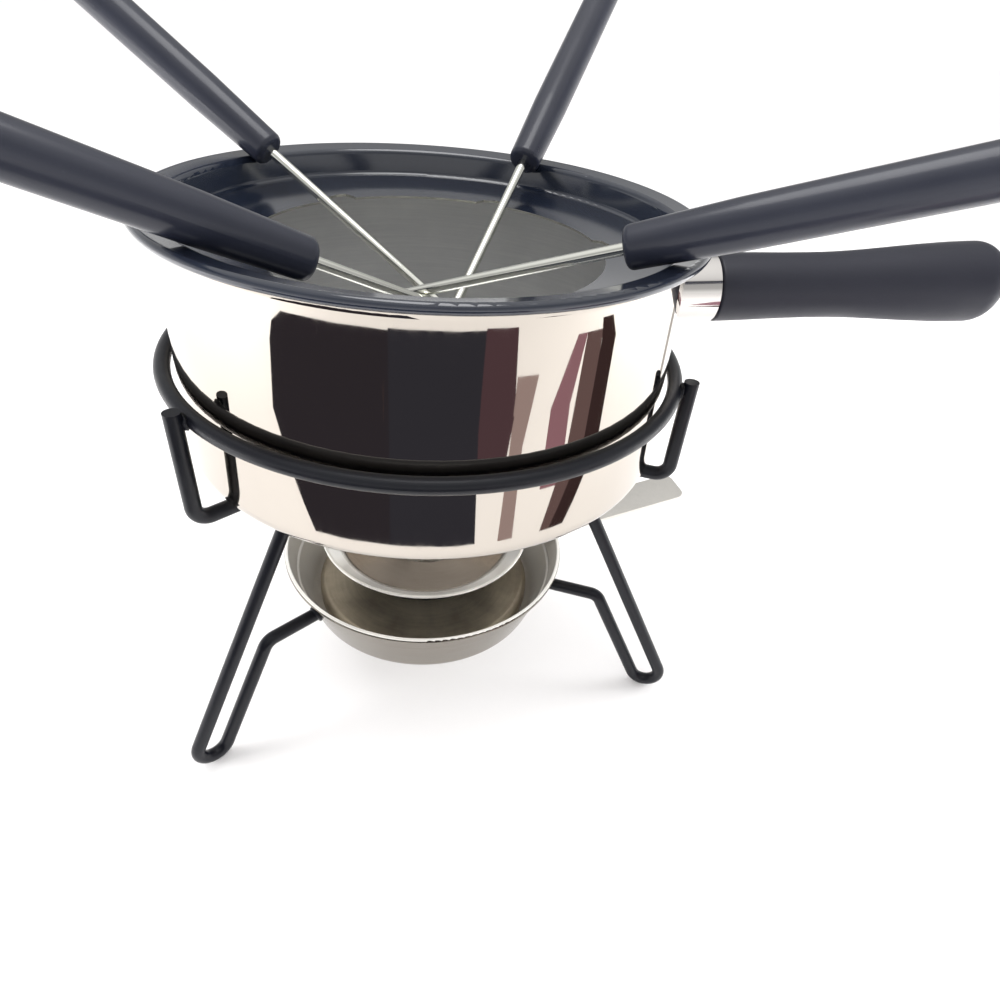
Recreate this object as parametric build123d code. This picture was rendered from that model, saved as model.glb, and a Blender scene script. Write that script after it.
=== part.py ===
"""Fondue pot set: handled pot on a wire stand, splash ring with four forks, spirit burner.

Millimetres, +Z up. The origin is on the stand's axis at table level, and the pot
handle points along +X. Radial sections are drawn as (radius, height) points.
"""
import os
from math import asin, cos, degrees, radians, sin

from build123d import *

# ---- pot ---------------------------------------------------------------------
POT_SHEET = 0.8
POT_RIM_R = 83.6
POT_TOP_R = 81.0
POT_BOTTOM_R = 83.1
POT_BOTTOM_Z = 112.5
POT_RIM_Z = 189.4
POT_NECK_Z = 186.5
POT_FLARE_R = 3.0
POT_CORNER_R = 6.0
BASE_DISC_R = 50.5
BASE_DISC_THICK = 3.0
BASE_DISC_EDGE_R = 0.8

# ---- pot handle, along its own axis from the pot wall -------------------------
HANDLE_ROOT = (81.0, 0.0, 167.3)
HANDLE_RISE = 4.3
FERRULE_LENGTH = 15.0
FERRULE_R = 11.0
FERRULE_SHEET = 0.8
BRACKET_PAD_R = 9.8
BRACKET_PAD_THICK = 2.5
BRACKET_BOSS_R = 6.5
BRACKET_END = 13.0
GRIP_GAP = 0.3
GRIP_FRONT_R = 11.3
GRIP_FRONT_EDGE = 1.0
GRIP_WAIST_R = 10.9
GRIP_WAIST_AT = 56.0
GRIP_FLARE_R = 13.5
GRIP_FLARE_AT = 106.4
GRIP_SHOULDER_R = 9.0
GRIP_CROWN_ANGLE = 15.0
STUD_R = 3.0
STUD_CLEARANCE = 0.1
STUD_START = 3.5
STUD_END = 74.0
INSERT_R = 4.8
INSERT_START = 58.0

# ---- splash ring ---------------------------------------------------------------
RING_SHEET = 0.8
RING_BEAD_R = 1.5
RING_BEAD_CENTRE = (85.5, 189.8)
RING_SHOULDER = (79.0, 190.1)
RING_STEP = (77.8, 181.6)
RING_EDGE = (56.35, 178.3)
RING_STEP_R = 1.5
RING_SHOULDER_R = 2.2
NOTCH_COUNT = 6
NOTCH_START = 5.0
NOTCH_OUTLINE = [
    (54.0, 7.4),
    (56.3, 7.2),
    (58.8, 5.4),
    (60.0, 1.0),
    (60.0, -2.6),
    (57.2, -4.6),
    (54.0, -4.6),
]
NOTCH_CORNER_R = 0.9
NOTCH_DEPTH_Z = 6.0

# ---- forks: front centre of each handle, outward azimuth, rise and turn of the tines
FORKS = {
    "fork_1": ((-56.6, 45.2, 192.6), 156.1, 32.4, 0.0),
    "fork_2": ((34.7, 62.0, 191.7), 63.6, 33.4, 0.0),
    "fork_3": ((-31.0, -41.0, 183.7), 206.0, 24.8, 30.0),
    "fork_4": ((52.0, -43.0, 192.2), 340.0, 20.5, 135.0),
}
FORK_SHAFT_R = 1.7
FORK_REACH = 125.0
FORK_SOCKET = 30.0
FORK_HANDLE_LENGTH = 105.0
FORK_HANDLE_R = 6.6
FORK_HANDLE_NOSE_R = 5.9
FORK_HANDLE_EDGE = 2.0
FORK_HANDLE_TAPER = 30.0
FORK_HANDLE_BLEND = 60.0
TINE_LENGTH = 24.0
TINE_SPREAD = 3.0
TINE_R = 0.85
TINE_TIP_R = 0.25
TINE_POINT = 4.0
TINE_TAPER = 9.0

# ---- wire stand ------------------------------------------------------------------
WIRE_R = 2.5
STAND_RING_R = 85.9
STAND_RING_Z = 143.4
LEG_AZIMUTHS = (221.1, 341.1, 101.1)
LEG_BRACKET_R = 90.85
LEG_TOP_Z = 147.0
SHELF_Z = 109.8
SHELF_CORNER_R = 53.7
FOOT_CENTRE_R = 103.15
FOOT_BEND_R = 5.92
WIRE_BEND_R = 5.0
INNER_BAR_Z = 45.4
LEG_END_R = 52.0

# ---- burner bowl, welded to the inner ends of the legs --------------------------
BOWL_SHEET = 0.8
BOWL_RIM = (57.4, 53.9)
BOWL_STEP_TOP = (54.4, 45.3)
BOWL_STEP_FOOT = (53.6, 44.6)
BOWL_STEP_R = 0.6
BOWL_CORNER = (47.3, 26.8)
BOWL_CORNER_R = 6.0
BOWL_BEAD_R = 0.9
BOWL_BEAD_CENTRE = (57.1, 53.1)

# ---- spirit burner ----------------------------------------------------------------
CUP_SHEET = 0.6
BASE_R = 45.0
BASE_BOTTOM_Z = 27.9
BASE_TOP_Z = 36.2
BASE_CORNER_R = 2.5
BASE_HOLE_R = 16.1
CUP_R = 34.0
CUP_TOP_Z = 55.2
CUP_FLOOR_Z = 50.0
CUP_CORNER_R = 1.5
NECK_R = 16.0
NECK_BOTTOM_Z = 28.6
WOOL_R = 15.1
WOOL_TOP_Z = 50.2
WOOL_CLEARANCE = 0.2
WOOL_EDGE_R = 2.5
GAUZE_R = 17.5
GAUZE_FOOT_Z = 50.8
GAUZE_THICK = 0.5
COVER_SHEET = 0.8
COVER_RIM = (42.2, 61.2)
COVER_BEND_R = 2.0
COVER_BEAD_R = 0.6
COVER_BEAD_CENTRE = (42.0, 60.7)
COVER_FLOOR_R = 34.5
COVER_FLOOR_Z = 55.5
COVER_HOLE_R = 18.0
COVER_SKIRT_R = 31.6
COVER_SKIRT_Z = 52.0
STRIP_AZIMUTH = 12.0
STRIP_RISE = 11.5
STRIP_WIDTH = 17.0
STRIP_SHEET = 0.8
STRIP_END_R = 117.0
STRIP_ROOT_Z = 51.3
STRIP_HEM = 3.0
STRIP_HEM_START = 4.0
TAB_GAP = 0.05
STRIP_TAB_Z = 50.6
STRIP_TAB_TOP_Z = 54.9
STRIP_CORNER_R = 4.0
RIVET_R = 0.8
RIVET_HEAD_R = 1.4
RIVET_HEAD_THICK = 0.7
RIVET_SEAT = 0.1
RIVET_Z = 53.2
RIVET_SPACING = 16.0

# ---- shared -------------------------------------------------------------------------
SMALL_BEND = 0.05


def sheet_section(points, radii, thickness):
    """Closed section of a bent sheet: an outline, thickened towards its right-hand side."""
    corners = [Vector(*point) for point in points]
    runs = [(end - start).normalized() for start, end in zip(corners, corners[1:])]
    before = [runs[0], *runs]
    after = [*runs, runs[-1]]
    back_corners = []
    back_radii = []
    for corner, arriving, leaving in zip(corners, before, after):
        right_turn = arriving.get_signed_angle(leaving)
        rightward = Vector(arriving.Y + leaving.Y, -arriving.X - leaving.X).normalized()
        back_corners.append(corner + rightward * (thickness / cos(radians(right_turn) / 2)))
        back_radii.append(-thickness if right_turn > 0 else thickness)
    inner = [max(radius + change, SMALL_BEND) for radius, change in zip(radii, back_radii[1:-1])]
    front = FilletPolyline(*corners, radius=radii)
    back = FilletPolyline(*back_corners, radius=inner)
    ends = [Line(corners[0], back_corners[0]), Line(corners[-1], back_corners[-1])]
    return make_face([*front.edges(), *back.edges(), *ends])


def filled_section(points, radii):
    """Closed section between an outline that ends on the axis, and the axis itself."""
    outline = FilletPolyline(*points, radius=radii)
    top = (0, points[0][1])
    return make_face([*outline.edges(), Line(points[0], top), Line(top, points[-1])])


def turned(section):
    """Solid of revolution about +Z of a section drawn as (radius, height)."""
    return revolve(Plane.XZ * section, Axis.Z)


def bead(radius, centre):
    """Round section of an edge bead."""
    return Pos(*centre) * Circle(radius)


def rod(radius, start, end):
    """Cylinder on the local +Z axis between two stations."""
    return Pos(0, 0, (start + end) / 2) * Cylinder(radius, end - start)


def outward(origin, azimuth, rise):
    """Location whose +Z points outward at an azimuth and rises, with a level +X."""
    flat = Vector(cos(radians(azimuth)), sin(radians(azimuth)), 0)
    direction = flat * cos(radians(rise)) + Vector(0, 0, sin(radians(rise)))
    level = Vector(-flat.Y, flat.X, 0)
    return Plane(origin=origin, x_dir=level, z_dir=direction).location


def write(solid, name):
    """Write one named sub-part."""
    export_step(solid, f"parts/{name}.step")


def pot_outline():
    """Outside of the pot from its flared rim to the centre of its bottom."""
    rim = (POT_RIM_R, POT_RIM_Z)
    points = [rim, (POT_TOP_R, POT_NECK_Z), (POT_BOTTOM_R, POT_BOTTOM_Z), (0, POT_BOTTOM_Z)]
    return points, [POT_FLARE_R, POT_CORNER_R]


def pot_shell():
    points, radii = pot_outline()
    return turned(sheet_section(points, radii, POT_SHEET))


def pot_base_disc():
    """Heat-spreading disc under the bottom, with a softened lower edge."""
    disc = rod(BASE_DISC_R, POT_BOTTOM_Z - BASE_DISC_THICK, POT_BOTTOM_Z)
    lower_edge = disc.edges().filter_by(GeomType.CIRCLE).sort_by(Axis.Z)[0]
    return fillet(lower_edge, BASE_DISC_EDGE_R)


def pot_handle_parts():
    """Bracket, ferrule, stud, insert and grip, each built on the handle's own axis."""
    frame = outward(HANDLE_ROOT, 0, HANDLE_RISE)
    points, radii = pot_outline()
    pot_solid = turned(filled_section(points, radii))
    pad = rod(BRACKET_PAD_R, -BRACKET_PAD_THICK, BRACKET_PAD_THICK)
    boss = rod(BRACKET_BOSS_R, 0, BRACKET_END)
    bracket = frame * (pad + boss - rod(STUD_R, STUD_START, BRACKET_END)) - pot_solid
    tube = rod(FERRULE_R, -BRACKET_PAD_THICK, FERRULE_LENGTH)
    hollow = rod(FERRULE_R - FERRULE_SHEET, -BRACKET_PAD_THICK, FERRULE_LENGTH)
    ferrule = frame * (tube - hollow) - pot_solid
    stud = frame * rod(STUD_R, STUD_START, STUD_END)
    insert = frame * (rod(INSERT_R, INSERT_START, STUD_END) - rod(STUD_R, INSERT_START, STUD_END))
    write(bracket, "pot_handle_bracket")
    write(ferrule, "pot_handle_ferrule")
    write(stud, "pot_handle_stud")
    write(insert, "pot_handle_insert")
    write(frame * grip_body(), "pot_handle_grip")


def grip_body():
    """Waisted grip that flares to a domed end, hollow for the stud and its insert."""
    start = FERRULE_LENGTH + GRIP_GAP
    bore_r = STUD_R + STUD_CLEARANCE
    front = (GRIP_FRONT_R, start + GRIP_FRONT_EDGE)
    flare = (GRIP_FLARE_R, GRIP_FLARE_AT)
    side = Spline(front, (GRIP_WAIST_R, GRIP_WAIST_AT), flare, tangents=((0, 1), (0, 1)))
    edge = JernArc(front, (0, -1), GRIP_FRONT_EDGE, -90)
    shoulder = JernArc(flare, (0, 1), GRIP_SHOULDER_R, 90 - GRIP_CROWN_ANGLE)
    crown_r = (shoulder @ 1).X / sin(radians(GRIP_CROWN_ANGLE))
    crown = JernArc(shoulder @ 1, shoulder % 1, crown_r, GRIP_CROWN_ANGLE)
    hollow = Polyline(
        crown @ 1,
        (0, STUD_END),
        (INSERT_R, STUD_END),
        (INSERT_R, INSERT_START),
        (bore_r, INSERT_START),
        (bore_r, start),
        (GRIP_FRONT_R - GRIP_FRONT_EDGE, start),
    )
    return turned(make_face([*hollow.edges(), edge, side, shoulder, crown]))


def notch_cutter():
    """Shallow rounded recess in the ring's inner edge, as a prism at azimuth zero."""
    outline = Polyline(*NOTCH_OUTLINE, close=True)
    face = make_face(outline.edges())
    inner_corners = [vertex for vertex in face.vertices() if vertex.X > RING_EDGE[0] + 1]
    face = fillet(inner_corners, NOTCH_CORNER_R)
    return extrude(Pos(0, 0, RING_EDGE[1] - NOTCH_DEPTH_Z) * face, 2 * NOTCH_DEPTH_Z)


def fork_ring():
    """Splash ring: wired rim, short wall that plugs into the pot, and a sloping flange."""
    crest = (RING_BEAD_CENTRE[0], RING_BEAD_CENTRE[1] + RING_BEAD_R)
    points = [RING_EDGE, RING_STEP, RING_SHOULDER, crest]
    section = sheet_section(points, [RING_STEP_R, RING_SHOULDER_R], RING_SHEET)
    ring = turned(section + bead(RING_BEAD_R, RING_BEAD_CENTRE))
    cutter = notch_cutter()
    for index in range(NOTCH_COUNT):
        ring -= Rot(0, 0, NOTCH_START + index * 360 / NOTCH_COUNT) * cutter
    return ring


def fork_handle():
    """Round handle from its front end at zero, thickening slightly, with softened ends."""
    nose = (FORK_HANDLE_NOSE_R, 0)
    points = [
        (0, 0),
        nose,
        (FORK_HANDLE_R, FORK_HANDLE_TAPER),
        (FORK_HANDLE_R, FORK_HANDLE_LENGTH),
        (0, FORK_HANDLE_LENGTH),
    ]
    radii = [FORK_HANDLE_EDGE, FORK_HANDLE_BLEND, FORK_HANDLE_EDGE]
    outline = FilletPolyline(*points, radius=radii)
    body = turned(make_face([*outline.edges(), Line(points[-1], points[0])]))
    return body - rod(FORK_SHAFT_R, 0, FORK_SOCKET)


def fork_shaft():
    """Round shaft that tapers into a yoke with three pointed tines."""
    yoke_at = TINE_LENGTH - FORK_REACH
    taper_at = yoke_at + TINE_TAPER
    shaft = rod(FORK_SHAFT_R, taper_at, FORK_SOCKET)
    neck = Pos(0, 0, yoke_at + TINE_TAPER / 2) * Cone(TINE_R, FORK_SHAFT_R, TINE_TAPER)
    steel = shaft + neck
    bend_at = yoke_at - TINE_SPREAD
    arc = CenterArc((0, 0), TINE_SPREAD, 0, 180)
    upright = Plane(origin=(0, 0, bend_at), x_dir=(1, 0, 0), z_dir=(0, -1, 0))
    start = Plane(origin=(TINE_SPREAD, 0, bend_at), z_dir=(0, 0, 1))
    steel += sweep(start * Circle(TINE_R), path=upright * arc)
    for offset in (-TINE_SPREAD, 0, TINE_SPREAD):
        top = yoke_at if offset == 0 else bend_at
        tine = rod(TINE_R, TINE_POINT - FORK_REACH, top)
        point = Pos(0, 0, TINE_POINT / 2 - FORK_REACH) * Cone(TINE_TIP_R, TINE_R, TINE_POINT)
        steel += Pos(offset, 0, 0) * (tine + point)
    return steel


def leg_path():
    """Centre line of one leg in the XZ plane: bracket, shelf, hairpin foot, inner bar."""
    foot = Vector(FOOT_CENTRE_R, 0, WIRE_R + FOOT_BEND_R)
    corner = Vector(SHELF_CORNER_R, 0, SHELF_Z)
    tangent_tilt = degrees(asin(FOOT_BEND_R / (foot - corner).length))
    down = (foot - corner).normalized().rotate(Axis.Y, -tangent_tilt)
    outer_side = Vector(-down.Z, 0, down.X)
    outer_end = foot + outer_side * FOOT_BEND_R
    inner_start = foot - outer_side * FOOT_BEND_R
    climb = (INNER_BAR_Z - inner_start.Z) / -down.Z
    inner_bend = inner_start - down * climb
    top = Vector(LEG_BRACKET_R, 0, LEG_TOP_Z)
    shelf_start = Vector(LEG_BRACKET_R, 0, SHELF_Z)
    upper = FilletPolyline(top, shelf_start, corner, outer_end, radius=WIRE_BEND_R)
    hairpin = ThreePointArc(outer_end, foot + down * FOOT_BEND_R, inner_start)
    end = Vector(LEG_END_R, 0, INNER_BAR_Z)
    lower = FilletPolyline(inner_start, inner_bend, end, radius=WIRE_BEND_R)
    return Wire([*upper.edges(), *hairpin.edges(), *lower.edges()])


def leg_wire():
    path = leg_path()
    start = Plane(origin=(LEG_BRACKET_R, 0, LEG_TOP_Z), z_dir=(0, 0, -1))
    return sweep(start * Circle(WIRE_R), path=path)


def bowl_outline():
    """Outside of the bowl from its rim, over a fine step, to the centre of its floor."""
    points = [BOWL_RIM, BOWL_STEP_TOP, BOWL_STEP_FOOT, BOWL_CORNER, (0, BOWL_CORNER[1])]
    return points, [BOWL_STEP_R, BOWL_STEP_R, BOWL_CORNER_R]


def stand_parts():
    """Ring, three legs and the bowl that joins their inner ends."""
    points, radii = bowl_outline()
    bowl = turned(sheet_section(points, radii, BOWL_SHEET) + bead(BOWL_BEAD_R, BOWL_BEAD_CENTRE))
    bowl_solid = turned(filled_section(points, radii))
    write(bowl, "burner_bowl")
    write(turned(bead(WIRE_R, (STAND_RING_R, STAND_RING_Z))), "stand_ring")
    leg = leg_wire() - bowl_solid
    for number, azimuth in enumerate(LEG_AZIMUTHS, start=1):
        write(Rot(0, 0, azimuth) * leg, f"stand_leg_{number}")


def burner_cover():
    """Dished cover with a central flame opening and a skirt that plugs into the cup."""
    top = COVER_FLOOR_Z + COVER_SHEET
    points = [(COVER_HOLE_R, top), (COVER_FLOOR_R, top), COVER_RIM]
    section = sheet_section(points, [COVER_BEND_R], COVER_SHEET)
    section += bead(COVER_BEAD_R, COVER_BEAD_CENTRE)
    section += bead(COVER_BEAD_R, (COVER_HOLE_R, top - COVER_BEAD_R))
    skirt_height = COVER_FLOOR_Z - COVER_SKIRT_Z + COVER_SHEET / 2
    skirt = Rectangle(CUP_SHEET, skirt_height, align=(Align.MAX, Align.MIN))
    return turned(section + Pos(COVER_SKIRT_R, COVER_SKIRT_Z) * skirt)


def rivet_frames():
    """Locations of the two handle rivets on the cup's wall, each pointing outward."""
    spread = RIVET_SPACING / 2
    return [outward((0, 0, RIVET_Z), STRIP_AZIMUTH + turn, 0) for turn in (-spread, spread)]


def burner_rivets():
    inner_seat = CUP_R - CUP_SHEET - RIVET_SEAT
    outer_seat = CUP_R + TAB_GAP + STRIP_SHEET + RIVET_SEAT
    inside = rod(RIVET_HEAD_R, inner_seat - RIVET_HEAD_THICK, inner_seat)
    outside = rod(RIVET_HEAD_R, outer_seat, outer_seat + RIVET_HEAD_THICK)
    edges = outside.edges().filter_by(GeomType.CIRCLE).sort_by(Axis.Z)[-1:]
    rivet = rod(RIVET_R, inner_seat, outer_seat) + fillet(edges, RIVET_HEAD_THICK / 2) + inside
    return Compound([frame * rivet for frame in rivet_frames()])


def burner_base():
    """Wide shallow can that stands in the bowl, open in the middle for the neck."""
    top = (BASE_HOLE_R, BASE_TOP_Z)
    points = [top, (BASE_R, BASE_TOP_Z), (BASE_R, BASE_BOTTOM_Z), (0, BASE_BOTTOM_Z)]
    return turned(sheet_section(points, [BASE_CORNER_R, BASE_CORNER_R], CUP_SHEET))


def burner_cup():
    """Shallow pan on a neck that holds the wool, with holes for the handle's rivets."""
    points = [
        (CUP_R, CUP_TOP_Z),
        (CUP_R, CUP_FLOOR_Z),
        (NECK_R, CUP_FLOOR_Z),
        (NECK_R, NECK_BOTTOM_Z),
        (0, NECK_BOTTOM_Z),
    ]
    cup = turned(sheet_section(points, [CUP_CORNER_R, CUP_CORNER_R, CUP_CORNER_R], CUP_SHEET))
    for frame in rivet_frames():
        cup -= frame * rod(RIVET_R, 0, CUP_R + CUP_SHEET)
    return cup


def burner_handle():
    """Flat strip with hemmed edges, rising outward from a tab that is riveted to the cup."""
    inner = CUP_R + TAB_GAP
    length = (STRIP_END_R - inner) / cos(radians(STRIP_RISE))
    sheet = Box(STRIP_WIDTH, STRIP_SHEET, length, align=(Align.CENTER, Align.MAX, Align.MIN))
    outer_corners = sheet.edges().filter_by(Axis.Y).sort_by(Axis.Z)[-2:]
    strip = fillet(outer_corners, STRIP_CORNER_R)
    hem_length = length - STRIP_CORNER_R - STRIP_HEM_START
    hem_align = (Align.CENTER, Align.MAX, Align.MIN)
    for side in (-1, 1):
        hem = Box(STRIP_HEM, STRIP_SHEET, hem_length, align=hem_align)
        across = side * (STRIP_WIDTH - STRIP_HEM) / 2
        strip += Pos(across, -STRIP_SHEET, STRIP_HEM_START) * hem
    strip = outward((inner, 0, STRIP_ROOT_Z), 0, STRIP_RISE) * strip
    tab = rod(inner + STRIP_SHEET, STRIP_TAB_Z, STRIP_TAB_TOP_Z)
    tab -= rod(inner, STRIP_TAB_Z, STRIP_TAB_TOP_Z)
    window = Box(2 * inner, STRIP_WIDTH, 2 * STRIP_ROOT_Z, align=(Align.MIN, Align.CENTER, Align.MIN))
    handle = Rot(0, 0, STRIP_AZIMUTH) * (strip + (tab & window) - rod(inner, 0, CUP_TOP_Z))
    for frame in rivet_frames():
        handle -= frame * rod(RIVET_R, 0, 2 * CUP_R)
    return handle


def burner_parts():
    floor = NECK_BOTTOM_Z + CUP_SHEET + WOOL_CLEARANCE
    wool = rod(WOOL_R, floor, WOOL_TOP_Z)
    write(burner_base(), "burner_base")
    write(burner_cup(), "burner_cup")
    write(fillet(wool.edges().filter_by(GeomType.CIRCLE), WOOL_EDGE_R), "burner_wool")
    write(rod(GAUZE_R, GAUZE_FOOT_Z, GAUZE_FOOT_Z + GAUZE_THICK), "burner_gauze")
    write(burner_handle(), "burner_handle")
    write(burner_rivets(), "burner_rivets")
    write(burner_cover(), "burner_cover")


def fork_parts():
    handle = fork_handle()
    shaft = fork_shaft()
    for name, (front, azimuth, rise, tine_turn) in FORKS.items():
        frame = outward(front, azimuth, rise)
        write(frame * handle, f"{name}_handle")
        write(frame * Rot(0, 0, tine_turn) * shaft, f"{name}_shaft")


def main():
    os.makedirs("parts", exist_ok=True)
    write(pot_shell(), "pot_shell")
    write(pot_base_disc(), "pot_base_disc")
    pot_handle_parts()
    write(fork_ring(), "fork_ring")
    fork_parts()
    stand_parts()
    burner_parts()


main()
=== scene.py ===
from math import cos, pi, radians, sin, sqrt
from random import Random

import bmesh
import bpy
from mathutils import Matrix, Vector, noise


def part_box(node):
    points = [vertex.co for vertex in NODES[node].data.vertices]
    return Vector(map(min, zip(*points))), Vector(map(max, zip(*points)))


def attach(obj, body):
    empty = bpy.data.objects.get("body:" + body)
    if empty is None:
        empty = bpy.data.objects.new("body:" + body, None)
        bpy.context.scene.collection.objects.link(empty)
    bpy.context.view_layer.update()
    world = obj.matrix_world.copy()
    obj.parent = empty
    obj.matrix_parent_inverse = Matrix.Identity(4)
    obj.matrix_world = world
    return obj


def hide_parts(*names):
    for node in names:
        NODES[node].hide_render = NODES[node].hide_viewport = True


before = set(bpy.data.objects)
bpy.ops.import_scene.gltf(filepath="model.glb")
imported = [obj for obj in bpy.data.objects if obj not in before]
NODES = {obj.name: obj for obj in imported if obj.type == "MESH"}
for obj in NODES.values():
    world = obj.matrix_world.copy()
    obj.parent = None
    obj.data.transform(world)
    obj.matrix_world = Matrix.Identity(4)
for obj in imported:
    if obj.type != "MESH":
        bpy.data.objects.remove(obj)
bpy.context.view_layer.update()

MM = 0.001

# ---- camera ---------------------------------------------------------------------
CAMERA_AT = (0.00100, -0.22882, 0.24632)
CAMERA_YAW = 0.128
CAMERA_PITCH = 0.638
CAMERA_ROLL = 0.097
CAMERA_LENS = 24.97
CAMERA_SENSOR = 36
CAMERA_NEAR = 0.005


def make_camera():
    """Wide lens close to the set, looking down at it, turned a little to the right."""
    flat = Vector((sin(CAMERA_YAW), cos(CAMERA_YAW), 0))
    forward = flat * cos(CAMERA_PITCH) - Vector((0, 0, sin(CAMERA_PITCH)))
    level = Vector((cos(CAMERA_YAW), -sin(CAMERA_YAW), 0))
    upright = level.cross(forward)
    right = level * cos(CAMERA_ROLL) + upright * sin(CAMERA_ROLL)
    up = upright * cos(CAMERA_ROLL) - level * sin(CAMERA_ROLL)
    data = bpy.data.cameras.new("camera")
    data.lens = CAMERA_LENS
    data.sensor_width = CAMERA_SENSOR
    data.clip_start = CAMERA_NEAR
    camera = bpy.data.objects.new("camera", data)
    turn = Matrix((right, up, -forward)).transposed()
    camera.matrix_world = Matrix.Translation(CAMERA_AT) @ turn.to_4x4()
    bpy.context.scene.collection.objects.link(camera)
    bpy.context.scene.camera = camera


# ---- node helpers -----------------------------------------------------------------
class Shader:
    """A new material, with short calls to add and link its nodes."""

    def __init__(self, name):
        self.material = bpy.data.materials.new(name)
        self.material.use_nodes = True
        self.tree = self.material.node_tree
        self.tree.nodes.clear()
        self.bsdf = self.add("ShaderNodeBsdfPrincipled")
        output = self.add("ShaderNodeOutputMaterial")
        self.link(self.bsdf.outputs["BSDF"], output.inputs["Surface"])
        place = self.add("ShaderNodeTexCoord")
        self.spot = place.outputs["Object"]
        self.normal = place.outputs["Normal"]

    def add(self, kind, **values):
        node = self.tree.nodes.new(kind)
        for key, value in values.items():
            setattr(node, key, value)
        return node

    def link(self, start, end):
        self.tree.links.new(start, end)

    def set(self, **values):
        """Constants on the shader's own sockets, with _ for each space in a name."""
        for key, value in values.items():
            self.bsdf.inputs[key.replace("_", " ")].default_value = value

    def math(self, operation, first, second=None):
        node = self.add("ShaderNodeMath", operation=operation)
        for index, value in enumerate((first, second)):
            if value is None:
                continue
            if isinstance(value, (int, float)):
                node.inputs[index].default_value = value
            else:
                self.link(value, node.inputs[index])
        return node.outputs[0]

    def weigh(self, first, second, share):
        """Mean of two sockets, where share is the weight of the first."""
        near = self.math("MULTIPLY", first, share)
        return self.math("ADD", near, self.math("MULTIPLY", second, 1 - share))

    def either(self, mask, there, elsewhere):
        """One value where the mask is 1 and the other where it is 0."""
        near = self.math("MULTIPLY", mask, there)
        far = self.math("MULTIPLY", self.math("SUBTRACT", 1.0, mask), elsewhere)
        return self.math("ADD", near, far)

    def split(self, vector):
        node = self.add("ShaderNodeSeparateXYZ")
        self.link(vector, node.inputs[0])
        return node.outputs

    def join(self, x, y, z):
        node = self.add("ShaderNodeCombineXYZ")
        for index, value in enumerate((x, y, z)):
            if isinstance(value, (int, float)):
                node.inputs[index].default_value = value
            else:
                self.link(value, node.inputs[index])
        return node.outputs[0]

    def scaled(self, scale):
        """Object coordinates multiplied by a scale for each axis."""
        node = self.add("ShaderNodeMapping")
        node.inputs["Scale"].default_value = scale
        self.link(self.spot, node.inputs["Vector"])
        return node.outputs[0]

    def around(self, along, across):
        """Coordinates that run round the Z axis, for grain left by spinning."""
        x, y, z = self.split(self.spot)
        angle = self.math("ARCTAN2", y, x)
        radius = self.radius()
        return self.join(
            self.math("MULTIPLY", angle, along),
            self.math("MULTIPLY", radius, across),
            self.math("MULTIPLY", z, across),
        )

    def radius(self):
        """Distance from the Z axis."""
        x, y, _ = self.split(self.spot)
        squares = self.math("ADD", self.math("MULTIPLY", x, x), self.math("MULTIPLY", y, y))
        return self.math("SQRT", squares)

    def noise(self, vector, scale, detail=4.0, roughness=0.55, distortion=0.0):
        node = self.add("ShaderNodeTexNoise")
        self.link(vector, node.inputs["Vector"])
        node.inputs["Scale"].default_value = scale
        node.inputs["Detail"].default_value = detail
        node.inputs["Roughness"].default_value = roughness
        node.inputs["Distortion"].default_value = distortion
        return node.outputs["Fac"]

    def span(self, value, low, high, start=0.0, end=1.0):
        """Maps value from start..end to low..high, clamped."""
        node = self.add("ShaderNodeMapRange")
        self.link(value, node.inputs["Value"])
        limits = {"From Min": start, "From Max": end, "To Min": low, "To Max": high}
        for key, number in limits.items():
            node.inputs[key].default_value = number
        return node.outputs["Result"]

    def blend(self, factor, first, second):
        """Colour mix; first and second are colours or sockets."""
        node = self.add("ShaderNodeMix", data_type="RGBA")
        self.link(factor, node.inputs[0])
        for index, value in ((6, first), (7, second)):
            if isinstance(value, tuple):
                node.inputs[index].default_value = (*value, 1)
            else:
                self.link(value, node.inputs[index])
        return node.outputs[2]

    def colour(self, socket):
        self.link(socket, self.bsdf.inputs["Base Color"])

    def tint(self):
        """The socket that feeds the base colour so far."""
        return self.bsdf.inputs["Base Color"].links[0].from_socket

    def metal(self, socket):
        self.link(socket, self.bsdf.inputs["Metallic"])

    def rough(self, socket):
        self.link(socket, self.bsdf.inputs["Roughness"])

    def spin(self):
        """Turns the shader's tangent round the Z axis, as spinning leaves it."""
        tangent = self.add("ShaderNodeTangent", direction_type="RADIAL", axis="Z")
        self.link(tangent.outputs[0], self.bsdf.inputs["Tangent"])

    def bump(self, height, distance, strength=1.0, under=None):
        node = self.add("ShaderNodeBump")
        node.inputs["Strength"].default_value = strength
        node.inputs["Distance"].default_value = distance
        self.link(height, node.inputs["Height"])
        if under is not None:
            self.link(under, node.inputs["Normal"])
        self.link(node.outputs[0], self.bsdf.inputs["Normal"])
        return node.outputs[0]


# ---- materials --------------------------------------------------------------------
# Tones are linear colours, the dark one first. Bump depths are in metres.
POT_MIRROR = ((0.55, 0.505, 0.45), (0.61, 0.56, 0.50))
POT_SPUN = ((0.66, 0.66, 0.66), (0.78, 0.78, 0.77))
RING_COAT = ((0.011, 0.015, 0.026), (0.017, 0.022, 0.037))
BARE_EDGE = (0.72, 0.70, 0.64)
DUST = (0.06, 0.065, 0.08)
# The bowl's pale inside tones are painted light and its dark outside tones are painted shade; both
# stand for one and the same steel.
BOWL_INSIDE_PAINTED_LIGHT = ((0.90, 0.88, 0.83), (0.97, 0.955, 0.92))
BOWL_OUTSIDE_PAINTED_SHADE = ((0.235, 0.21, 0.18), (0.31, 0.283, 0.245))
BRASS = ((0.52, 0.36, 0.13), (0.66, 0.48, 0.20))
WOOL = ((0.30, 0.27, 0.21), (0.66, 0.63, 0.55))
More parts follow.
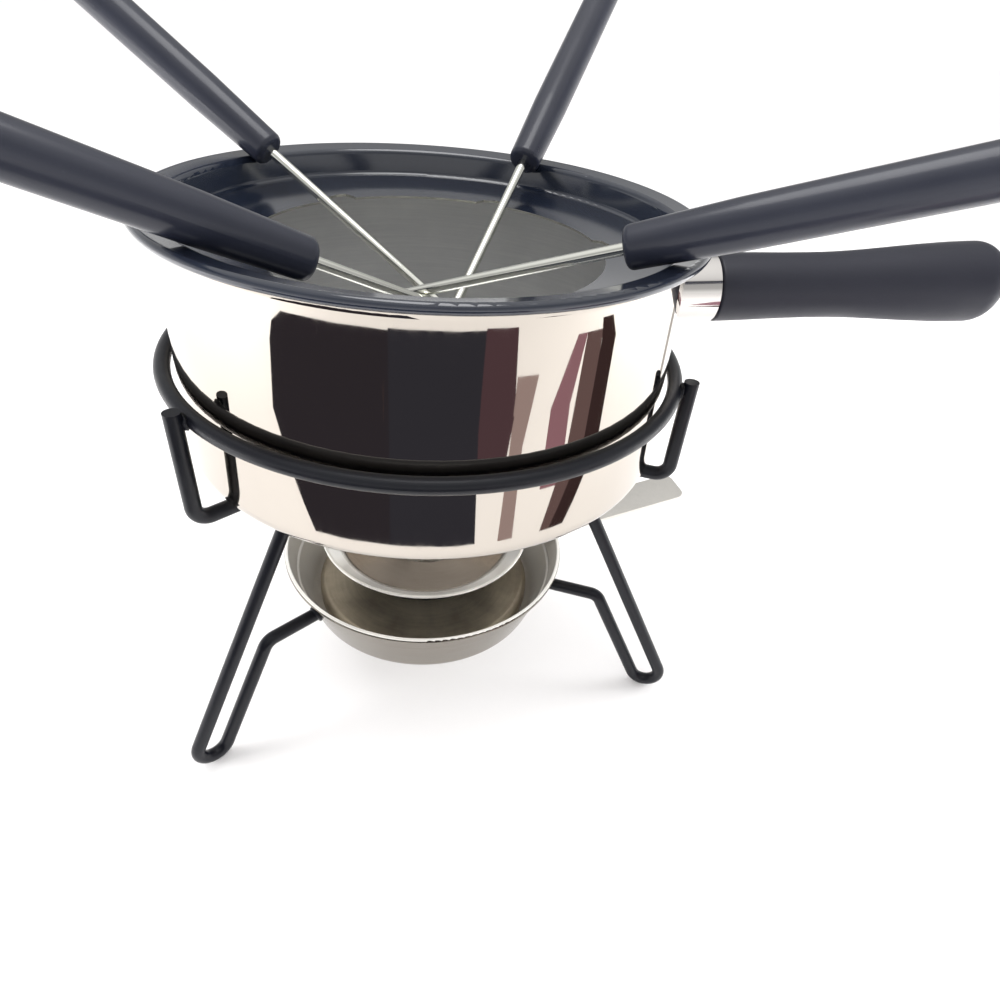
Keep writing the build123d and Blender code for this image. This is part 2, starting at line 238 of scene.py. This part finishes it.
# The cover disc's dark brown tones are a painted reflection of the pot's dark underside, and the pale
# brim colour is painted light.
COVER_DISC_PAINTED_REFLECTION = ((0.22, 0.19, 0.16), (0.30, 0.262, 0.22))
COVER_BRIM_PAINTED_LIGHT = (0.92, 0.90, 0.85)
BASE_DISC = ((0.45, 0.44, 0.42), (0.62, 0.61, 0.59))
BASE_CAN = ((0.36, 0.31, 0.24), (0.54, 0.48, 0.37))

# The ring's cut edge stands upright inside this radius.
RING_EDGE_R = 0.0612
# The cover's flat disc ends at the first radius, and its brim is painted pale, as painted light, from
# the second.
BRIM_FROM_R = 0.0345
BRIM_FULL_R = 0.0365
WIPE_SCALE = (400, 400, 90)
WIPE_RANGE = (0.3, 0.75)
GROOVE_RANGE = (0.25, 0.75)
CLOUD_RANGE = (0.3, 0.7)


def stainless(name, tones, rough, wave):
    """Polished stainless: faint cloudy tint, fine wiping marks and a slightly uneven skin."""
    shader = Shader(name)
    shader.set(Metallic=1.0)
    shader.colour(shader.blend(shader.noise(shader.spot, 30), *tones))
    wipe = shader.noise(shader.scaled(WIPE_SCALE), 1, detail=6)
    shader.rough(shader.span(wipe, rough * 0.6, rough * 1.5, *WIPE_RANGE))
    shader.bump(shader.noise(shader.spot, 22, detail=1), wave)
    return shader.material


def brushed(name, tones, rough, across=900, along=3.0, depth=0.00002, pull=0.6):
    """Spun stainless with fine grooves round the Z axis."""
    shader = Shader(name)
    shader.set(Metallic=1.0, Anisotropic=pull)
    groove = shader.noise(shader.around(along, across), 1, detail=5, roughness=0.7)
    mixed = shader.weigh(groove, shader.noise(shader.spot, 35), 0.55)
    shader.colour(shader.blend(shader.span(mixed, 0, 1, *CLOUD_RANGE), *tones))
    shader.rough(shader.span(groove, rough * 0.75, rough * 1.3, *GROOVE_RANGE))
    shader.spin()
    shader.bump(groove, depth)
    return shader


def black(name, tones, rough, grain, depth, coat=0.0):
    """Dark coat or plastic with a fine grain, slight sheen changes and a few dusty specks."""
    shader = Shader(name)
    shader.set(Coat_Weight=coat, Coat_Roughness=0.12, Specular_IOR_Level=0.38)
    cloud = shader.noise(shader.spot, 45)
    specks = shader.noise(shader.spot, 2600, detail=2)
    tint = shader.blend(cloud, *tones)
    shader.colour(shader.blend(shader.span(specks, 0, 0.35, 0.66, 0.8), tint, DUST))
    shader.rough(shader.span(cloud, rough * 0.85, rough * 1.2, *CLOUD_RANGE))
    shader.bump(shader.noise(shader.spot, grain, detail=3), depth)
    return shader


def facing_in(shader):
    """1 where the surface points to the Z axis or up, and 0 where it points out or down."""
    px, py, _ = shader.split(shader.spot)
    nx, ny, nz = shader.split(shader.normal)
    along = shader.math("ADD", shader.math("MULTIPLY", px, nx), shader.math("MULTIPLY", py, ny))
    outward = shader.math("DIVIDE", along, shader.math("MAXIMUM", shader.radius(), 0.0005))
    return shader.math("LESS_THAN", shader.math("SUBTRACT", outward, nz), 0.0)


def pot_steel():
    """Mirror outside, spun and duller inside."""
    shader = Shader("pot_mirror_and_spun")
    shader.set(Anisotropic=0.35)
    inside = facing_in(shader)
    shader.metal(shader.span(inside, 1.0, 0.8))
    groove = shader.noise(shader.around(3.0, 1100), 1, detail=5, roughness=0.7)
    cloud = shader.noise(shader.spot, 30)
    mixed = shader.weigh(groove, cloud, 0.5)
    spun = shader.blend(shader.span(mixed, 0, 1, 0.35, 0.65), *POT_SPUN)
    shader.colour(shader.blend(inside, shader.blend(cloud, *POT_MIRROR), spun))
    wipe = shader.noise(shader.scaled(WIPE_SCALE), 1, detail=6)
    polished = shader.span(wipe, 0.015, 0.05, *WIPE_RANGE)
    shader.rough(shader.either(inside, shader.span(groove, 0.28, 0.42, *GROOVE_RANGE), polished))
    shader.spin()
    swell = shader.noise(shader.scaled((20, 20, 8)), 1, detail=1)
    soft = shader.bump(swell, 0.0002)
    shader.bump(shader.math("MULTIPLY", groove, inside), 0.00003, under=soft)
    return shader.material


def ring_enamel():
    """Glossy blue-black coat with the bare cut edge of the sheet at its inner rim."""
    shader = black("ring_enamel", RING_COAT, 0.13, 900, 0.000006, coat=1.0)
    _, _, nz = shader.split(shader.normal)
    upright = shader.math("LESS_THAN", shader.math("ABSOLUTE", nz), 0.55)
    near = shader.math("LESS_THAN", shader.radius(), RING_EDGE_R)
    bare = shader.math("MULTIPLY", upright, near)
    shader.colour(shader.blend(bare, shader.tint(), BARE_EDGE))
    shader.metal(bare)
    return shader.material


def bowl_steel():
    """Pale and mostly diffuse inside as painted light, standing in for the bright reflections of the
    polished wall; darker and lightly spun outside as painted shade.
    """
    shader = Shader("bowl_painted_light_inside_shade_outside")
    inside = facing_in(shader)
    # Inside, the steel is made mostly diffuse, so its pale colour shows as painted light.
    shader.metal(shader.span(inside, 1.0, 0.2))
    groove = shader.noise(shader.around(2.0, 1300), 1, detail=5, roughness=0.7)
    cloud = shader.noise(shader.spot, 40)
    # The dark outside colour is painted shade, and the pale inside colour is painted light.
    satin = shader.blend(shader.span(groove, 0, 1, *CLOUD_RANGE), *BOWL_OUTSIDE_PAINTED_SHADE)
    shader.colour(shader.blend(inside, satin, shader.blend(cloud, *BOWL_INSIDE_PAINTED_LIGHT)))
    bright_rough = shader.span(cloud, 0.14, 0.22, *CLOUD_RANGE)
    shader.rough(shader.either(inside, bright_rough, shader.span(groove, 0.16, 0.28, *GROOVE_RANGE)))
    shader.bump(groove, 0.00002, strength=0.6)
    return shader.material


def brass():
    """Turned brass with fine lathe marks along X."""
    shader = Shader("turned_brass")
    shader.set(Metallic=1.0)
    turning = shader.noise(shader.scaled((1500, 60, 60)), 1, detail=3)
    shader.colour(shader.blend(turning, *BRASS))
    shader.rough(shader.span(turning, 0.2, 0.36, *CLOUD_RANGE))
    shader.bump(turning, 0.00003)
    return shader.material


def wool():
    """Pale mineral wool with matted fibres."""
    shader = Shader("mineral_wool")
    shader.set(Roughness=0.95, Sheen_Weight=0.25)
    strand = shader.noise(shader.spot, 260, detail=6, distortion=2.5)
    tuft = shader.noise(shader.spot, 60, detail=3)
    mixed = shader.math("MULTIPLY", strand, tuft)
    shader.colour(shader.blend(shader.span(mixed, 0, 1, 0.1, 0.45), *WOOL))
    shader.bump(strand, 0.0006)
    return shader.material


def cover_steel():
    """Spun steel, painted pale and made less metallic on the raised brim as painted light, and painted
    dark brown on the flat disc within it as a painted reflection of the pot's dark underside.
    """
    shader = brushed("cover_steel", COVER_DISC_PAINTED_REFLECTION, 0.14, depth=0.00001, pull=0.4)
    # The pale, less metallic brim is painted light, and the dark brown disc colour within it is a
    # painted reflection.
    brim = shader.span(shader.radius(), 0, 1, BRIM_FROM_R, BRIM_FULL_R)
    shader.colour(shader.blend(brim, shader.tint(), COVER_BRIM_PAINTED_LIGHT))
    shader.metal(shader.span(brim, 1.0, 0.6))
    return shader.material


def base_disc_steel():
    """Coarse turning on the disc under the pot."""
    return brushed("base_disc", BASE_DISC, 0.30, across=700, along=1.0, depth=0.00005).material


def base_can_steel():
    """Used satin top with a brown cast and faint stains."""
    shader = Shader("base_can_satin")
    shader.set(Metallic=0.8)
    stain = shader.noise(shader.spot, 55, detail=6, roughness=0.65)
    groove = shader.noise(shader.around(2.0, 900), 1, detail=4)
    mixed = shader.weigh(stain, groove, 0.75)
    shader.colour(shader.blend(shader.span(mixed, 0, 1, 0.38, 0.62), *BASE_CAN))
    shader.rough(shader.span(stain, 0.38, 0.50, *CLOUD_RANGE))
    shader.bump(groove, 0.00001)
    return shader.material


MATERIALS = {
    "burner_base": base_can_steel,
    "pot_shell": pot_steel,
    "pot_base_disc": base_disc_steel,
    "fork_ring": ring_enamel,
    "burner_bowl": bowl_steel,
    "burner_wool": wool,
    "burner_cover": cover_steel,
    "pot_handle_insert": brass,
}
FORKS = ("fork_1", "fork_2", "fork_3", "fork_4")
# material: nodes, tones, roughness and depth of the uneven skin
STAINLESS = {
    # The cup's near-black tones are painted shade for its wall, which sits in the shadow under the
    # cover's brim.
    "painted_shade_steel": (
        ("burner_cup",), ((0.02, 0.018, 0.016), (0.05, 0.045, 0.04)), 0.42, 0.0001,
    ),
    "strip_steel": (
        ("burner_handle",), ((0.76, 0.73, 0.68), (0.86, 0.83, 0.78)), 0.16, 0.0001,
    ),
    "plated_steel": (
        ("burner_rivets", "pot_handle_stud", "pot_handle_bracket"),
        ((0.66, 0.65, 0.62), (0.80, 0.79, 0.76)), 0.22, 0.0001,
    ),
    "ferrule_steel": (
        ("pot_handle_ferrule",), ((0.7, 0.67, 0.64), (0.85, 0.82, 0.79)), 0.06, 0.0004,
    ),
    "gauze_wire": (
        ("burner_gauze",), ((0.38, 0.36, 0.33), (0.55, 0.53, 0.49)), 0.3, 0.0001,
    ),
    "fork_steel": (
        tuple(f"{fork}_shaft" for fork in FORKS),
        ((0.78, 0.78, 0.70), (0.90, 0.90, 0.84)), 0.10, 0.00005,
    ),
}
# material: nodes, tones, roughness, scale and depth of the grain, clear coat
BLACKS = {
    "fork_plastic": (
        tuple(f"{fork}_handle" for fork in FORKS),
        ((0.015, 0.017, 0.029), (0.022, 0.025, 0.040)), 0.31, 2400, 0.00002, 0.25,
    ),
    "stand_coat": (
        ("stand_ring", "stand_leg_1", "stand_leg_2", "stand_leg_3"),
        ((0.003, 0.0035, 0.007), (0.006, 0.007, 0.012)), 0.34, 1400, 0.00003, 0.0,
    ),
    "grip_plastic": (
        ("pot_handle_grip",), ((0.013, 0.014, 0.024), (0.021, 0.022, 0.036)), 0.46, 1800, 0.00003, 0.0,
    ),
}


def paint_nodes():
    """Gives every CAD node its material, and returns the materials by node."""
    made = {name: make() for name, make in MATERIALS.items()}
    for title, (names, *recipe) in STAINLESS.items():
        made.update(dict.fromkeys(names, stainless(title, *recipe)))
    for title, (names, *recipe) in BLACKS.items():
        made.update(dict.fromkeys(names, black(title, *recipe).material))
    for name, material in made.items():
        slots = NODES[name].data.materials
        slots.clear()
        slots.append(material)
    return made


# ---- built pieces --------------------------------------------------------------------
# Sizes are in mm, apart from lump scales, which are per metre.
GAUZE_PITCH = 1.35
GAUZE_WIRE_R = 0.11
GAUZE_TRIM = 0.35
GAUZE_BINDING_TRIM = 0.24
GAUZE_BINDING_R = 0.23
WOOL_SIDES = 72
WOOL_ROWS = 16
WOOL_STRANDS = 420
WOOL_STRAND_POINTS = 7
WOOL_STRAND_STEP = 0.7
WOOL_STRAND_RISE = 0.35
WOOL_STRAND_R = (0.05, 0.09)
WOOL_TOP_DROP = 1.3
WOOL_TOP_GAP = 0.12
WOOL_LUMPS = 0.55
WOOL_EDGE_DROP = 1.6
WOOL_SEED = 7
LEG_AZIMUTHS = (221.1, 341.1, 101.1)
WELD_AT = (88.4, 0.0, 143.4)
WELD_HALF = (1.3, 3.0, 2.7)
WELD_LUMPS = 0.16
COLLAR_AT = (54.9, 0.0, 45.3)
COLLAR_TILT = 19.0
COLLAR_R = 2.55
COLLAR_THICK = 0.75
COLLAR_LUMPS = 0.22


def add_piece(name, vertices, faces, material, body, standing_for=(), smooth=40):
    """New mesh piece in metres that rides on a body and takes its finish from a slot."""
    mesh = bpy.data.meshes.new(name)
    mesh.from_pydata([Vector(v) for v in vertices], [], faces)
    mesh.validate()
    mesh.shade_smooth()
    mesh.set_sharp_from_angle(angle=radians(smooth))
    mesh.materials.append(material)
    piece = bpy.data.objects.new(name, mesh)
    bpy.context.scene.collection.objects.link(piece)
    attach(piece, body)
    if standing_for:
        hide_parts(*standing_for)
    return piece


def add_tube(vertices, faces, path, radius, sides):
    """Appends a closed round tube along a path, with a low point at each end."""
    count = len(path)
    side = None
    base = len(vertices)
    for index, point in enumerate(path):
        ahead = path[min(index + 1, count - 1)] - path[max(index - 1, 0)]
        ahead.normalize()
        if side is None:
            side = ahead.orthogonal()
        side = (side - ahead * side.dot(ahead)).normalized()
        other = ahead.cross(side)
        for step in range(sides):
            turn = 2 * pi * step / sides
            vertices.append(point + side * cos(turn) * radius + other * sin(turn) * radius)
    for ring in range(count - 1):
        for step in range(sides):
            a = base + ring * sides + step
            b = base + ring * sides + (step + 1) % sides
            faces.append((a, b, b + sides, a + sides))
    for ring, sign in ((0, -1), (count - 1, 1)):
        ahead = (path[ring] - path[ring - sign]).normalized()
        tip = len(vertices)
        vertices.append(path[ring] + ahead * radius * 0.4)
        for step in range(sides):
            a = base + ring * sides + step
            b = base + ring * sides + (step + 1) % sides
            faces.append((a, b, tip) if sign > 0 else (b, a, tip))


def woven_gauze(material):
    """Square-woven wire cloth with a round binding wire, over the mouth of the neck."""
    low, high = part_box("burner_gauze")
    radius = (high.x - low.x) / 2 / MM
    level = (low.z + high.z) / 2 / MM
    reach = radius - GAUZE_TRIM
    vertices, faces = [], []
    count = int(reach / GAUZE_PITCH)
    for number in range(-count, count + 1):
        offset = number * GAUZE_PITCH
        half = sqrt(reach**2 - offset**2)
        steps = max(4, int(2 * half / (GAUZE_PITCH / 4)))
        for across in (False, True):
            path = []
            for step in range(steps + 1):
                along = -half + 2 * half * step / steps
                phase = pi * (along / GAUZE_PITCH + number)
                lift = GAUZE_WIRE_R * cos(phase) * (1 if across else -1)
                spot = (offset, along) if across else (along, offset)
                path.append(Vector((*spot, level + lift)) * MM)
            add_tube(vertices, faces, path, GAUZE_WIRE_R * MM, sides=6)
    binding = (radius - GAUZE_BINDING_TRIM) * MM
    add_ring(vertices, faces, binding, level * MM, GAUZE_BINDING_R * MM)
    add_piece("gauze_weave", vertices, faces, material, "burner", ("burner_gauze",))


def add_ring(vertices, faces, radius, level, thick, around=160, sides=10):
    """Appends a round wire bent into a full circle."""
    base = len(vertices)
    for step in range(around):
        turn = 2 * pi * step / around
        for part in range(sides):
            tilt = 2 * pi * part / sides
            far = radius + thick * cos(tilt)
            vertices.append(Vector((far * cos(turn), far * sin(turn), level + thick * sin(tilt))))
    for step in range(around):
        for part in range(sides):
            a = base + step * sides + part
            b = base + step * sides + (part + 1) % sides
            c = base + (step + 1) % around * sides + (part + 1) % sides
            d = base + (step + 1) % around * sides + part
            faces.append((a, d, c, b))


def wool_height(x, y, radius, top):
    """Height of the lumpy top at a spot; it falls away at the edge."""
    broad = noise.noise(Vector((x, y, 0)) * 240) * 0.9
    lumps = broad + noise.noise(Vector((x, y, 5)) * 700) * 0.45
    edge = max(0.0, sqrt(x * x + y * y) / radius - 0.8) / 0.2
    return top - WOOL_TOP_DROP * MM + lumps * MM * WOOL_LUMPS - edge**2 * WOOL_EDGE_DROP * MM


def matted_wool(material):
    """Plug of mineral wool: a lumpy body with loose curled strands over its top."""
    low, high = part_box("burner_wool")
    radius = (high.x - low.x) / 2
    vertices, faces = [], []
    for row in range(WOOL_ROWS + 1):
        for step in range(WOOL_SIDES):
            turn = 2 * pi * step / WOOL_SIDES
            if row < WOOL_ROWS:
                far = radius * 0.985 * (row + 1) / WOOL_ROWS
                x, y = far * cos(turn), far * sin(turn)
                vertices.append((x, y, wool_height(x, y, radius, high.z)))
            else:
                vertices.append((radius * 0.96 * cos(turn), radius * 0.96 * sin(turn), low.z))
    for row in range(WOOL_ROWS):
        for step in range(WOOL_SIDES):
            a = row * WOOL_SIDES + step
            b = row * WOOL_SIDES + (step + 1) % WOOL_SIDES
            faces.append((a, a + WOOL_SIDES, b + WOOL_SIDES, b))
    top = len(vertices)
    vertices.append((0, 0, wool_height(0, 0, radius, high.z)))
    vertices.append((0, 0, low.z))
    foot = WOOL_ROWS * WOOL_SIDES
    for step in range(WOOL_SIDES):
        after = (step + 1) % WOOL_SIDES
        faces.append((step, after, top))
        faces.append((foot + after, foot + step, top + 1))
    draw = Random(WOOL_SEED)
    for _ in range(WOOL_STRANDS):
        path = wool_strand(draw, radius, high.z)
        if len(path) > 2:
            add_tube(vertices, faces, path, draw.uniform(*WOOL_STRAND_R) * MM, sides=5)
    add_piece("wool_plug", vertices, faces, material, "burner", ("burner_wool",))


def wool_strand(draw, radius, top):
    """Path of one curled strand that lies on the wool and stops short of its edge."""
    far = radius * 0.86 * sqrt(draw.random())
    turn = draw.uniform(0, 2 * pi)
    x, y = far * cos(turn), far * sin(turn)
    heading = draw.uniform(0, 2 * pi)
    curl = draw.uniform(-0.9, 0.9)
    path = []
    for step in range(WOOL_STRAND_POINTS):
        if sqrt(x * x + y * y) > radius * 0.94:
            break
        rise = WOOL_STRAND_RISE * MM * sin(pi * step / (WOOL_STRAND_POINTS - 1))
        level = wool_height(x, y, radius, top) + rise
        path.append(Vector((x, y, min(level, top - WOOL_TOP_GAP * MM))))
        x += cos(heading) * WOOL_STRAND_STEP * MM
        y += sin(heading) * WOOL_STRAND_STEP * MM
        heading += curl * 0.5
    return path


def weld_spots(material):
    """Small uneven weld between each leg and the ring, and round each leg's end at the bowl."""
    for number, azimuth in enumerate(LEG_AZIMUTHS, start=1):
        turn = Matrix.Rotation(radians(azimuth), 4, "Z")
        vertices = []
        bead = bmesh.new()
        bmesh.ops.create_icosphere(bead, subdivisions=4, radius=1.0)
        for vertex in bead.verts:
            x, y, z = vertex.co
            shift = Vector((number, 0, 0))
            lump = 1 + WELD_LUMPS * noise.noise(vertex.co * 1.7 + shift)
            half = Vector((WELD_HALF[0] * x, WELD_HALF[1] * y, WELD_HALF[2] * z))
            vertices.append(turn @ ((Vector(WELD_AT) + half * lump) * MM))
        faces = [tuple(v.index for v in face.verts) for face in bead.faces]
        bead.free()
        name = f"weld_ring_{number}"
        add_piece(name, vertices, faces, material, "stand", smooth=180)
        weld_collar(number, turn, material)


def weld_collar(number, turn, material, around=48, sides=12):
    """Ring of weld that lies on the bowl's sloping wall round the wire."""
    lean = Matrix.Rotation(radians(COLLAR_TILT), 4, "Y")
    centre = Vector(COLLAR_AT)
    vertices, faces = [], []
    for step in range(around):
        angle = 2 * pi * step / around
        swell = noise.noise(Vector((cos(angle), sin(angle), number)) * 1.6)
        thick = COLLAR_THICK * (1 + COLLAR_LUMPS * swell)
        for part in range(sides):
            tilt = 2 * pi * part / sides
            far = COLLAR_R + thick * cos(tilt)
            spot = Vector((thick * sin(tilt), far * cos(angle), far * sin(angle)))
            vertices.append(turn @ ((centre + lean @ spot) * MM))
    for step in range(around):
        for part in range(sides):
            a = step * sides + part
            b = step * sides + (part + 1) % sides
            after = (step + 1) % around * sides
            faces.append((a, b, after + (part + 1) % sides, after + part))
    name = f"weld_bowl_{number}"
    add_piece(name, vertices, faces, material, "stand", smooth=180)


# ---- studio -------------------------------------------------------------------------
FLOOR_SIZE = 12.0
FLOOR_Z = -0.0002
FLOOR_COLOUR = (0.965, 0.96, 0.965)
WORLD_COLOUR = (1.0, 0.99, 0.985)
WORLD_STRENGTH = 1.08
LIGHTS = [
    # name, place, target, size, power
    ("key", (-0.5, 0.3, 1.1), (0, 0, 0.12), 0.7, 3.2),
    ("fill", (0.9, -0.2, 0.9), (0, 0, 0.12), 0.9, 1.8),
    ("low_left", (-0.9, -0.15, 0.27), (0, 0, 0.045), 0.5, 6.0),
    ("low_right", (0.9, 0.15, 0.27), (0, 0, 0.045), 0.5, 6.0),
]
CARD_R = 0.240
CARD_STEPS = 24
CARDS = [
    # name, colour, then height, left and right edge azimuths, from the floor up
    ("card_left", (0.040, 0.035, 0.044), [
        (0.000, -132, -103), (0.035, -140, -103), (0.071, -146, -103),
        (0.108, -144.5, -103), (0.118, -143, -103), (0.124, -139, -103),
    ]),
    ("card_middle", (0.044, 0.044, 0.058), [
        (0.000, -103, -71), (0.071, -103, -72), (0.125, -103, -71),
    ]),
    ("card_strip", (0.17, 0.10, 0.08), [(0.074, -105, -103.5), (0.118, -104.5, -103)]),
    ("card_brown", (0.115, 0.066, 0.080), [
        (0.040, -72, -62), (0.080, -72, -59), (0.126, -71, -60),
    ]),
    ("card_smoke", (0.50, 0.38, 0.37), [
        (0.000, -62, -56), (0.060, -60, -55), (0.100, -59, -51),
    ]),
    ("card_rose", (0.42, 0.22, 0.27), [
        (0.030, -46, -37), (0.080, -45, -37), (0.118, -37, -33),
    ]),
    ("card_umber", (0.20, 0.13, 0.13), [
        (0.000, -44, -34), (0.050, -36, -27), (0.118, -33, -26),
    ]),
    ("card_edge", (0.060, 0.035, 0.036), [
        (0.000, -40, -33), (0.050, -28, -20), (0.112, -26, -19), (0.124, -27, -22),
    ]),
    ("card_grey", (0.62, 0.60, 0.58), [(0.000, 22, 26), (0.120, 26, 31)]),
    ("card_back_left", (0.22, 0.22, 0.23), [(0.000, 98, 126), (0.220, 98, 126)]),
    ("card_back_right", (0.22, 0.22, 0.23), [(0.000, 62, 76), (0.220, 62, 76)]),
]
DOME_R = 3.0
DOME_ROWS = 24
DOME_SIDES = 64
# The dome starts this many degrees over the horizon and rises by the span.
DOME_FOOT = 2
DOME_SPAN = 87.9
# share of the dome's height, grey tone
DOME_TONES = [
    (0.0, 1.0), (0.16, 0.90), (0.32, 0.50), (0.60, 0.42), (0.74, 0.80), (1.0, 1.0),
]
SOFTBOX_R = 0.25
SOFTBOX_Z = 0.90
SOFTBOX_SIDES = 48
SOFTBOX_STRENGTH = 5.0


def glow(name, colour=(1.0, 1.0, 1.0), strength=1.0):
    """Material that only gives light; returned with its emission node."""
    material = bpy.data.materials.new(name)
    material.use_nodes = True
    tree = material.node_tree
    tree.nodes.clear()
    light = tree.nodes.new("ShaderNodeEmission")
    light.inputs["Color"].default_value = (*colour, 1)
    light.inputs["Strength"].default_value = strength
    output = tree.nodes.new("ShaderNodeOutputMaterial")
    tree.links.new(light.outputs[0], output.inputs["Surface"])
    return material, light


def add_reflected(name, vertices, faces, material, smooth=False):
    """Studio mesh that is seen in reflections and nowhere else."""
    mesh = bpy.data.meshes.new(name)
    mesh.from_pydata(vertices, [], faces)
    if smooth:
        mesh.shade_smooth()
    mesh.materials.append(material)
    item = bpy.data.objects.new(name, mesh)
    item.visible_camera = False
    item.visible_diffuse = False
    item.visible_shadow = False
    item.visible_transmission = False
    bpy.context.scene.collection.objects.link(item)


def make_card(name, colour, rows):
    """Curved card that stands round the set."""
    vertices = []
    for height, left, right in rows:
        for step in range(CARD_STEPS + 1):
            azimuth = radians(left + (right - left) * step / CARD_STEPS)
            vertices.append((CARD_R * cos(azimuth), CARD_R * sin(azimuth), height))
    width = CARD_STEPS + 1
    faces = [
        (r * width + c, r * width + c + 1, (r + 1) * width + c + 1, (r + 1) * width + c)
        for r in range(len(rows) - 1)
        for c in range(CARD_STEPS)
    ]
    material, _ = glow(name, colour)
    add_reflected(name, vertices, faces, material)


def make_dome():
    """Soft ceiling: light at the horizon and overhead, greyer between them."""
    vertices = []
    for row in range(DOME_ROWS + 1):
        rise = radians(DOME_FOOT + DOME_SPAN * row / DOME_ROWS)
        flat = DOME_R * cos(rise)
        for step in range(DOME_SIDES):
            turn = 2 * pi * step / DOME_SIDES
            vertices.append((flat * cos(turn), flat * sin(turn), DOME_R * sin(rise)))
    faces = []
    for row in range(DOME_ROWS):
        for step in range(DOME_SIDES):
            a = row * DOME_SIDES + step
            b = row * DOME_SIDES + (step + 1) % DOME_SIDES
            faces.append((a, b, b + DOME_SIDES, a + DOME_SIDES))
    material, light = glow("dome")
    tree = material.node_tree
    place = tree.nodes.new("ShaderNodeTexCoord")
    parts = tree.nodes.new("ShaderNodeSeparateXYZ")
    share = tree.nodes.new("ShaderNodeMapRange")
    share.inputs["From Max"].default_value = DOME_R
    ramp = tree.nodes.new("ShaderNodeValToRGB")
    stops = ramp.color_ramp.elements
    while len(stops) < len(DOME_TONES):
        stops.new(0.5)
    for stop, (position, tone) in zip(stops, DOME_TONES):
        stop.position = position
        stop.color = (tone, tone, tone, 1)
    tree.links.new(place.outputs["Object"], parts.inputs[0])
    tree.links.new(parts.outputs["Z"], share.inputs["Value"])
    tree.links.new(share.outputs["Result"], ramp.inputs["Fac"])
    tree.links.new(ramp.outputs["Color"], light.inputs["Color"])
    add_reflected("dome", vertices, faces, material, smooth=True)


def make_softbox():
    """Overhead disc that shows as highlights on the glossy pieces."""
    vertices = []
    for step in range(SOFTBOX_SIDES):
        turn = 2 * pi * step / SOFTBOX_SIDES
        vertices.append((SOFTBOX_R * cos(turn), SOFTBOX_R * sin(turn), SOFTBOX_Z))
    material, _ = glow("softbox", strength=SOFTBOX_STRENGTH)
    add_reflected("softbox", vertices, [tuple(range(SOFTBOX_SIDES))], material)


def make_floor():
    """Plain pale floor just under the feet."""
    bpy.ops.mesh.primitive_plane_add(size=FLOOR_SIZE, location=(0, 0, FLOOR_Z))
    floor = bpy.context.object
    floor.name = "floor"
    material = bpy.data.materials.new("floor")
    material.use_nodes = True
    bsdf = material.node_tree.nodes["Principled BSDF"]
    bsdf.inputs["Base Color"].default_value = (*FLOOR_COLOUR, 1)
    bsdf.inputs["Roughness"].default_value = 0.9
    bsdf.inputs["Specular IOR Level"].default_value = 0.1
    floor.data.materials.append(material)


def add_light(name, place, target, size, power):
    """Round area light aimed at a target; it doesn't show in reflections."""
    data = bpy.data.lights.new(name, "AREA")
    data.shape = "DISK"
    data.size = size
    data.energy = power
    lamp = bpy.data.objects.new(name, data)
    lamp.visible_glossy = False
    aim = (Vector(target) - Vector(place)).to_track_quat("-Z", "Y")
    lamp.matrix_world = Matrix.Translation(place) @ aim.to_matrix().to_4x4()
    bpy.context.scene.collection.objects.link(lamp)


def make_studio():
    """Floor, reflected surroundings, lights and a white world."""
    make_floor()
    make_dome()
    make_softbox()
    for card in CARDS:
        make_card(*card)
    for light in LIGHTS:
        add_light(*light)
    world = bpy.data.worlds.new("studio")
    world.use_nodes = True
    background = world.node_tree.nodes["Background"]
    background.inputs["Color"].default_value = (*WORLD_COLOUR, 1)
    background.inputs["Strength"].default_value = WORLD_STRENGTH
    scene = bpy.context.scene
    scene.world = world
    scene.view_settings.view_transform = "Standard"


make_camera()
painted = paint_nodes()
woven_gauze(painted["burner_gauze"])
matted_wool(painted["burner_wool"])
weld_spots(painted["stand_ring"])
make_studio()
